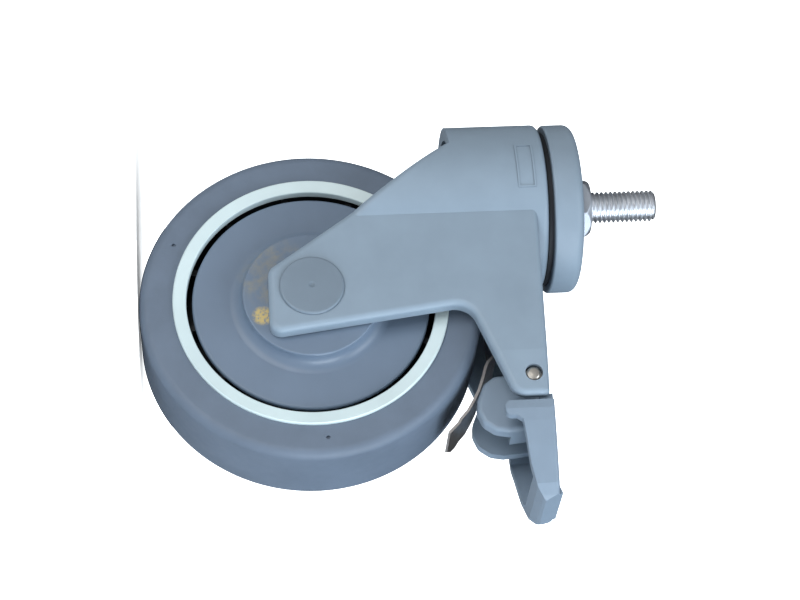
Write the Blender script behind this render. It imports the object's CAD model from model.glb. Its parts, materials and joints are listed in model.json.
import json
import math

import bmesh
import bpy
from mathutils import Matrix, Vector


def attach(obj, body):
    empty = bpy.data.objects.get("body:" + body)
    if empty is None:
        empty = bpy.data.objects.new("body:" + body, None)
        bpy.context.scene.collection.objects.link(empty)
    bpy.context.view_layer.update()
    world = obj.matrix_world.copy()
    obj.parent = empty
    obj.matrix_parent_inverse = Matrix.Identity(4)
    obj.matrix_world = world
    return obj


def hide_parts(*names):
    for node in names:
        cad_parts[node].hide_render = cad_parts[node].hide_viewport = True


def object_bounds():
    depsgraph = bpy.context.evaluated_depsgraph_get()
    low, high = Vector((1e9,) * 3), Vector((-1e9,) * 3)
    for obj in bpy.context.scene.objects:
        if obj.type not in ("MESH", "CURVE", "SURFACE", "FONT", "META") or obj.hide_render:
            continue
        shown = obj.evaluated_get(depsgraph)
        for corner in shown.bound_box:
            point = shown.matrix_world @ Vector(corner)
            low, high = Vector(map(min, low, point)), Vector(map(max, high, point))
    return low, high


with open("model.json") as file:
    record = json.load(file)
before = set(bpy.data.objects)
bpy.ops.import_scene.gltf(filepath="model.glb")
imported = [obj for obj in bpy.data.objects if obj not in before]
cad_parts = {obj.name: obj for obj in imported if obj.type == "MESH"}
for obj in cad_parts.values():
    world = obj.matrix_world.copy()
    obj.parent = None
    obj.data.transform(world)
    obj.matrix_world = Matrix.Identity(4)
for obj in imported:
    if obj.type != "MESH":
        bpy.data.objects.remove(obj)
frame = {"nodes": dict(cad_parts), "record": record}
CAD_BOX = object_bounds()
NODES = frame["nodes"]


# ---------------------------------------------------------------- materials

CORNER_REACH = 0.024
CORNER_DUST = (0.010, 0.012, 0.016)
FINE_DEPTH = 0.00003


class Nodes:
    """Short calls for building a shader."""

    def __init__(self, name):
        self.material = bpy.data.materials.new(name)
        self.material.use_nodes = True
        self.tree = self.material.node_tree
        self.shader = self.tree.nodes["Principled BSDF"]
        self.place = self.add("ShaderNodeTexCoord").outputs["Object"]

    def add(self, kind, **values):
        node = self.tree.nodes.new(kind)
        for name, value in values.items():
            if name in node.inputs:
                node.inputs[name].default_value = value
            else:
                setattr(node, name, value)
        return node

    def link(self, start, end):
        self.tree.links.new(start, end)

    def set(self, **values):
        for name, value in values.items():
            self.shader.inputs[name.replace("_", " ")].default_value = value

    def noise(self, scale, detail=3.0, rough=0.5, stretch=None):
        texture = self.add("ShaderNodeTexNoise", Scale=scale, Detail=detail, Roughness=rough)
        source = self.place
        if stretch is not None:
            mapping = self.add("ShaderNodeMapping")
            mapping.inputs["Scale"].default_value = stretch
            self.link(source, mapping.inputs["Vector"])
            source = mapping.outputs["Vector"]
        self.link(source, texture.inputs["Vector"])
        return texture.outputs["Fac"]

    def ramp(self, source, low, high, at=(0.3, 0.7)):
        ramp = self.add("ShaderNodeValToRGB")
        for element, position, colour in zip(ramp.color_ramp.elements, at, (low, high)):
            element.position = position
            element.color = (*colour, 1.0)
        self.link(source, ramp.inputs["Fac"])
        return ramp.outputs["Color"]

    def range(self, source, low, high, start=0.0, end=1.0):
        """The source between start and end, spread from low to high."""
        span = self.add("ShaderNodeMapRange")
        for name, value in (("From Min", start), ("From Max", end), ("To Min", low),
                            ("To Max", high)):
            span.inputs[name].default_value = value
        self.link(source, span.inputs["Value"])
        return span.outputs["Result"]

    def bump(self, source, strength, distance, under=None):
        node = self.add("ShaderNodeBump")
        node.inputs["Strength"].default_value = strength
        node.inputs["Distance"].default_value = distance
        self.link(source, node.inputs["Height"])
        if under is not None:
            self.link(under, node.inputs["Normal"])
        return node.outputs["Normal"]

    def tint(self, base, colour, amount):
        """The base colour mixed towards a colour where the amount is high."""
        mix = self.add("ShaderNodeMix", data_type="RGBA")
        self.link(amount, mix.inputs[0])
        self.link(base, mix.inputs[6])
        mix.inputs[7].default_value = (*colour, 1.0)
        return mix.outputs[2]

    def settle(self, base, low):
        """The base colour, darker in corners where dust and shade gather."""
        corner = self.add("ShaderNodeAmbientOcclusion", samples=6)
        corner.inputs["Distance"].default_value = CORNER_REACH
        shadow = self.range(corner.outputs["AO"], 1.0 - low, 0.0, 0.12, 0.80)
        return self.tint(base, CORNER_DUST, shadow)


def shade(colour, factor):
    return tuple(min(1.0, part * factor) for part in colour)


def moulded_plastic(name, colour, rough, low=0.34):
    """Satin moulded plastic: fine spark-eroded grain, faint flow clouds, scuffs."""
    n = Nodes(name)
    cloud = n.noise(38.0, 4.0, 0.55)
    paint = n.settle(n.ramp(cloud, shade(colour, 0.93), shade(colour, 1.06)), low=low)
    n.link(paint, n.shader.inputs["Base Color"])
    scuff = n.noise(160.0, 5.0, 0.65)
    n.link(n.range(scuff, rough - 0.07, rough + 0.08), n.shader.inputs["Roughness"])
    fine = n.bump(n.noise(9000.0, 2.0, 0.6), 0.35, FINE_DEPTH)
    wavy = n.bump(n.noise(90.0, 2.0), 0.10, 0.0003, fine)
    n.link(wavy, n.shader.inputs["Normal"])
    n.set(Specular_IOR_Level=0.4)
    return n.material


def rubber(name, colour, rough=0.5):
    """Smooth non-marking tread: very fine mould marks and dusty patches."""
    n = Nodes(name)
    dust = n.noise(55.0, 5.0, 0.6)
    n.link(n.ramp(dust, shade(colour, 0.92), shade(colour, 1.08)), n.shader.inputs["Base Color"])
    n.link(n.range(n.noise(300.0, 3.0), rough - 0.06, rough + 0.1), n.shader.inputs["Roughness"])
    fine = n.bump(n.noise(5200.0, 3.0, 0.65), 0.25, FINE_DEPTH)
    n.link(fine, n.shader.inputs["Normal"])
    n.set(Specular_IOR_Level=0.35)
    return n.material


def glossy_plastic(name, colour, rough=0.16, coat=0.25, worn=False):
    """Polished cover with hairline scratches and smears, and old grease where it is worn."""
    n = Nodes(name)
    cloud = n.noise(45.0, 3.0)
    paint = n.ramp(cloud, shade(colour, 0.95), shade(colour, 1.05))
    if worn:
        paint = add_grease(n, paint)
    n.link(paint, n.shader.inputs["Base Color"])
    smear = n.noise(26.0, 5.0, 0.62, (1.0, 1.0, 4.0))
    n.link(n.range(smear, rough - 0.08, rough + 0.14), n.shader.inputs["Roughness"])
    lines = n.bump(n.noise(900.0, 2.0, 0.5, (1.0, 1.0, 5.0)), 0.04, 0.00002)
    n.link(lines, n.shader.inputs["Normal"])
    n.set(Specular_IOR_Level=0.5, Coat_Weight=coat, Coat_Roughness=0.12)
    return n.material


def near_point(n, spot, reach, soft):
    """One near a point of the object, falling to nothing beyond its reach."""
    gap = n.add("ShaderNodeVectorMath", operation="DISTANCE")
    n.link(n.place, gap.inputs[0])
    gap.inputs[1].default_value = spot
    return n.range(gap.outputs["Value"], 1.0, 0.0, reach - soft, reach)


def times(n, first, second):
    node = n.add("ShaderNodeMath", operation="MULTIPLY")
    n.link(first, node.inputs[0])
    n.link(second, node.inputs[1])
    return node.outputs["Value"]


def broken(n, scale, low, high):
    """Patchy noise between none and full."""
    return n.range(n.noise(scale, 5.0, 0.65), 0.0, 1.0, low, high)


GREASE_FILM = (0.036, -0.0215, -0.122)
GREASE_DAB = (0.0528, -0.0215, -0.1275)


def add_grease(n, paint):
    """Dried grease round the fork's boss, with one thicker yellow dab on the left cover."""
    film = times(n, near_point(n, GREASE_FILM, 0.0165, 0.006),
                 broken(n, 240.0, 0.42, 0.80))
    paint = n.tint(paint, (0.26, 0.25, 0.20), film)
    dab = times(n, near_point(n, GREASE_DAB, 0.0042, 0.0016), broken(n, 700.0, 0.36, 0.52))
    return n.tint(paint, (0.56, 0.43, 0.17), dab)


def metal(name, colour, rough, stretch=(1.0, 1.0, 1.0)):
    """Bare or plated metal with drawn or turned marks along the stretch."""
    n = Nodes(name)
    stain = n.noise(120.0, 4.0, 0.6)
    n.link(n.ramp(stain, shade(colour, 0.82), shade(colour, 1.05)), n.shader.inputs["Base Color"])
    marks = n.noise(1800.0, 3.0, 0.6, stretch)
    n.link(n.range(marks, rough - 0.08, rough + 0.12), n.shader.inputs["Roughness"])
    n.link(n.bump(marks, 0.3, FINE_DEPTH), n.shader.inputs["Normal"])
    n.set(Metallic=1.0)
    return n.material


MATERIALS = {
    "grey_housing": moulded_plastic("grey_housing", (0.245, 0.315, 0.385), 0.48),
    "cap_grey": moulded_plastic("cap_grey", (0.235, 0.300, 0.365), 0.50),
    "pedal_grey": moulded_plastic("pedal_grey", (0.215, 0.277, 0.348), 0.46, low=0.95),
    "axle_grey": moulded_plastic("axle_grey", (0.180, 0.232, 0.285), 0.42),
    "tyre_grey": rubber("tyre_grey", (0.132, 0.170, 0.225)),
    "core_black": moulded_plastic("core_black", (0.012, 0.013, 0.015), 0.6),
    "ring_white": glossy_plastic("ring_white", (0.62, 0.735, 0.745), 0.34, 0.05),
    "guard_grey": glossy_plastic("guard_grey", (0.142, 0.192, 0.262), 0.36, 0.05, worn=True),
    "zinc_steel": metal("zinc_steel", (0.62, 0.65, 0.69), 0.30),
    "nut_steel": metal("nut_steel", (0.58, 0.62, 0.68), 0.46),
    "stem_steel": metal("stem_steel", (0.80, 0.82, 0.85), 0.34, (1.0, 1.0, 3.0)),
    "bearing_steel": metal("bearing_steel", (0.50, 0.52, 0.54), 0.28),
    "ball_steel": metal("ball_steel", (0.72, 0.73, 0.75), 0.14),
    "spring_steel": metal("spring_steel", (0.55, 0.52, 0.50), 0.30, (1.0, 12.0, 1.0)),
    "pin_steel": metal("pin_steel", (0.66, 0.62, 0.56), 0.30),
    "seal_black": rubber("seal_black", (0.012, 0.014, 0.018), 0.6),
}


def dress_frame():
    """Give every CAD node the material of its slot."""
    slots = {row["node"]: row["material_slot"] for row in frame["record"]["subparts"]}
    for name, item in NODES.items():
        item.data.materials.clear()
        item.data.materials.append(MATERIALS[slots[name]])


# ---------------------------------------------------------------- stem and hexagon

KINGPIN_RADIUS = 0.0058
KINGPIN_END = -0.0445
STEM_RADIUS = 0.0060
STEM_END = 0.0256
THREAD_PITCH = 0.00175
THREAD_DEPTH = 0.00098
STEM_BEVEL = 0.0011
STEM_SIDES = 96
STEPS_PER_PITCH = 22
NUT_FLATS = 0.0205
NUT_TURN = math.radians(9.3)
NUT_HEIGHT = 0.0065
NUT_SIDES = 180
NUT_STEPS = 26
NUT_BORE = STEM_RADIUS + 0.00005


def add_ring(mesh, radius_at, height, sides, start=0.0):
    """A ring of points round the stem's axis, with the radius that each turn has."""
    ring = []
    for number in range(sides):
        turn = start + math.tau * number / sides
        radius = radius_at(height, turn)
        ring.append(mesh.verts.new((radius * math.cos(turn), radius * math.sin(turn), height)))
    return ring


def join_rings(mesh, lower, upper):
    for number in range(len(lower)):
        after = (number + 1) % len(lower)
        mesh.faces.new((lower[number], lower[after], upper[after], upper[number]))


def plain(radius):
    return lambda height, turn: radius


def thread_radius(height, turn):
    """Radius of the threaded part at a height and a turn in radians."""
    place = (height / THREAD_PITCH - turn / math.tau) % 1.0
    flank = abs(place - 0.5) * 2.0
    groove = min(1.0, max(0.0, (flank - 0.12) / 0.72))
    runout = min(1.0, max(0.0, (height - 0.0004) / 0.0012))
    radius = STEM_RADIUS - THREAD_DEPTH * groove * runout
    return min(radius, STEM_RADIUS - STEM_BEVEL + max(0.0, STEM_END - height))


def make_thread():
    """The stem with a rolled thread; plain below the seat, at crest radius in the hexagon."""
    rows = [
        (KINGPIN_END, plain(KINGPIN_RADIUS)),
        (-NUT_HEIGHT, plain(KINGPIN_RADIUS)),
        (-NUT_HEIGHT, plain(STEM_RADIUS)),
        (0.0, plain(STEM_RADIUS)),
    ]
    steps = round(STEM_END / THREAD_PITCH * STEPS_PER_PITCH)
    rows += [(STEM_END * (index + 1) / steps, thread_radius) for index in range(steps)]
    mesh = bmesh.new()
    rings = [add_ring(mesh, radius_at, height, STEM_SIDES) for height, radius_at in rows]
    for lower, upper in zip(rings, rings[1:]):
        join_rings(mesh, lower, upper)
    mesh.faces.new(rings[0][::-1])
    mesh.faces.new(rings[-1])
    return add_piece("stem_thread", mesh, MATERIALS["stem_steel"], "mounting", "zinc_steel",
                     "threaded_stem")


def nut_radius(height, turn):
    """Radius of the hexagon at a height below its top face, with its corners turned off."""
    sector = (turn - NUT_TURN) % (math.pi / 3) - math.pi / 6
    hexagon = NUT_FLATS / 2 / math.cos(sector)
    return min(hexagon, 0.0099 - 0.80 * height, 0.0111 + 0.9 * (height + NUT_HEIGHT))


def make_nut():
    """The hexagon at the root of the stem, turned as it was tightened."""
    rows = [(0.0, plain(NUT_BORE))]
    rows += [(-NUT_HEIGHT * index / NUT_STEPS, nut_radius) for index in range(NUT_STEPS + 1)]
    rows += [(-NUT_HEIGHT, plain(NUT_BORE))]
    mesh = bmesh.new()
    rings = [add_ring(mesh, radius_at, height, NUT_SIDES, NUT_TURN) for height, radius_at in rows]
    for upper, lower in zip(rings, rings[1:] + rings[:1]):
        join_rings(mesh, lower, upper)
    return add_piece("hexagon_nut", mesh, MATERIALS["nut_steel"], "mounting", "zinc_steel",
                     "stem_nut")


def add_piece(name, mesh, material, body, slot, *nodes):
    data = bpy.data.meshes.new(name)
    mesh.to_mesh(data)
    mesh.free()
    data.materials.append(material)
    piece = bpy.data.objects.new(name, data)
    bpy.context.collection.objects.link(piece)
    for face in data.polygons:
        face.use_smooth = True
    data.set_sharp_from_angle(angle=math.radians(35))
    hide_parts(*nodes)
    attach(piece, body)
    return piece


# ---------------------------------------------------------------- stage

VIEW_TARGET = Vector((0.0476, -0.0197, -0.0774))
VIEW_DISTANCE = 0.800
VIEW_BEARING = math.radians(118.32)
VIEW_RISE = math.radians(5.01)
VIEW_ROLL = math.radians(87.78)
VIEW_LENS = 99.0
FILL_FRONT = 0.34
FILL_BACK = 0.06
SEEN_STRENGTH = 2.3
FLOOR_RADIUS = 0.6
FLOOR_CENTRE = 0.045
FLOOR_GAP = 0.0005
# name; across, up and towards the camera in metres; size; watts; colour
SOFTBOXES = (
    ("key", -0.35, 0.55, 0.85, 0.8, 6.7, (1.0, 0.99, 0.98)),
    ("low", 0.30, -0.75, 0.50, 0.7, 8.8, (0.82, 0.91, 1.0)),
    ("right", 0.80, -0.10, 0.45, 0.6, 3.9, (0.84, 0.92, 1.0)),
)


def view_axes():
    """The camera's right, up and forward directions."""
    flat = math.cos(VIEW_RISE)
    forward = Vector((
        flat * math.cos(VIEW_BEARING), flat * math.sin(VIEW_BEARING), math.sin(VIEW_RISE)
    ))
    level = forward.cross(Vector((0, 0, 1))).normalized()
    right = level * math.cos(VIEW_ROLL) + level.cross(forward) * math.sin(VIEW_ROLL)
    return right, right.cross(forward), forward


def add_camera():
    right, up, forward = view_axes()
    data = bpy.data.cameras.new("camera")
    data.lens = VIEW_LENS
    data.clip_start = 0.01
    camera = bpy.data.objects.new("camera", data)
    spot = VIEW_TARGET - forward * VIEW_DISTANCE
    camera.matrix_world = Matrix((
        (right.x, up.x, -forward.x, spot.x),
        (right.y, up.y, -forward.y, spot.y),
        (right.z, up.z, -forward.z, spot.z),
        (0, 0, 0, 1),
    ))
    bpy.context.collection.objects.link(camera)
    bpy.context.scene.camera = camera


def add_softbox(name, across, up, towards, size, watts, colour):
    """An area light placed in the camera's own axes round the target, facing the target."""
    right, top, forward = view_axes()
    spot = VIEW_TARGET + right * across + top * up - forward * towards
    data = bpy.data.lights.new(name, "AREA")
    data.shape = "DISK"
    data.size = size
    data.energy = watts
    data.color = colour
    light = bpy.data.objects.new(name, data)
    light.location = spot
    light.rotation_euler = (VIEW_TARGET - spot).to_track_quat("-Z", "Y").to_euler()
    bpy.context.collection.objects.link(light)


def add_world():
    """White where the camera sees it; the fill comes from the front, and the back is dim."""
    world = bpy.data.worlds.new("studio")
    world.use_nodes = True
    nodes, links = world.node_tree.nodes, world.node_tree.links
    nodes.clear()
    place = nodes.new("ShaderNodeTexCoord")
    parts = nodes.new("ShaderNodeSeparateXYZ")
    links.new(place.outputs["Generated"], parts.inputs["Vector"])
    front = nodes.new("ShaderNodeMapRange")
    for name, value in (("From Min", -0.5), ("From Max", 0.4), ("To Min", FILL_FRONT),
                        ("To Max", FILL_BACK)):
        front.inputs[name].default_value = value
    links.new(parts.outputs["Y"], front.inputs["Value"])
    fill = nodes.new("ShaderNodeBackground")
    fill.inputs["Color"].default_value = (0.93, 0.965, 1.0, 1)
    links.new(front.outputs["Result"], fill.inputs["Strength"])
    seen = nodes.new("ShaderNodeBackground")
    seen.inputs["Color"].default_value = (0.94, 0.975, 1.0, 1)
    seen.inputs["Strength"].default_value = SEEN_STRENGTH
    path = nodes.new("ShaderNodeLightPath")
    mix = nodes.new("ShaderNodeMixShader")
    out = nodes.new("ShaderNodeOutputWorld")
    links.new(path.outputs["Is Camera Ray"], mix.inputs["Fac"])
    links.new(fill.outputs["Background"], mix.inputs[1])
    links.new(seen.outputs["Background"], mix.inputs[2])
    links.new(mix.outputs["Shader"], out.inputs["Surface"])
    bpy.context.scene.world = world


def add_floor():
    """A pale floor under the wheel, level, so that it is clear of every pose and every side."""
    mesh = bmesh.new()
    bmesh.ops.create_circle(mesh, cap_ends=True, segments=64, radius=FLOOR_RADIUS)
    data = bpy.data.meshes.new("studio_floor")
    mesh.to_mesh(data)
    mesh.free()
    material = bpy.data.materials.new("floor_white")
    material.use_nodes = True
    material.node_tree.nodes["Principled BSDF"].inputs["Base Color"].default_value = (
        0.8, 0.8, 0.8, 1)
    data.materials.append(material)
    floor = bpy.data.objects.new("studio_floor", data)
    floor.location = (FLOOR_CENTRE, 0, CAD_BOX[0][2] - FLOOR_GAP)
    floor.is_shadow_catcher = True
    floor.visible_shadow = False
    bpy.context.collection.objects.link(floor)


def add_stage():
    bpy.context.scene.view_settings.view_transform = "Standard"
    add_camera()
    add_world()
    for box in SOFTBOXES:
        add_softbox(*box)
    add_floor()


add_stage()
dress_frame()
make_thread()
make_nut()
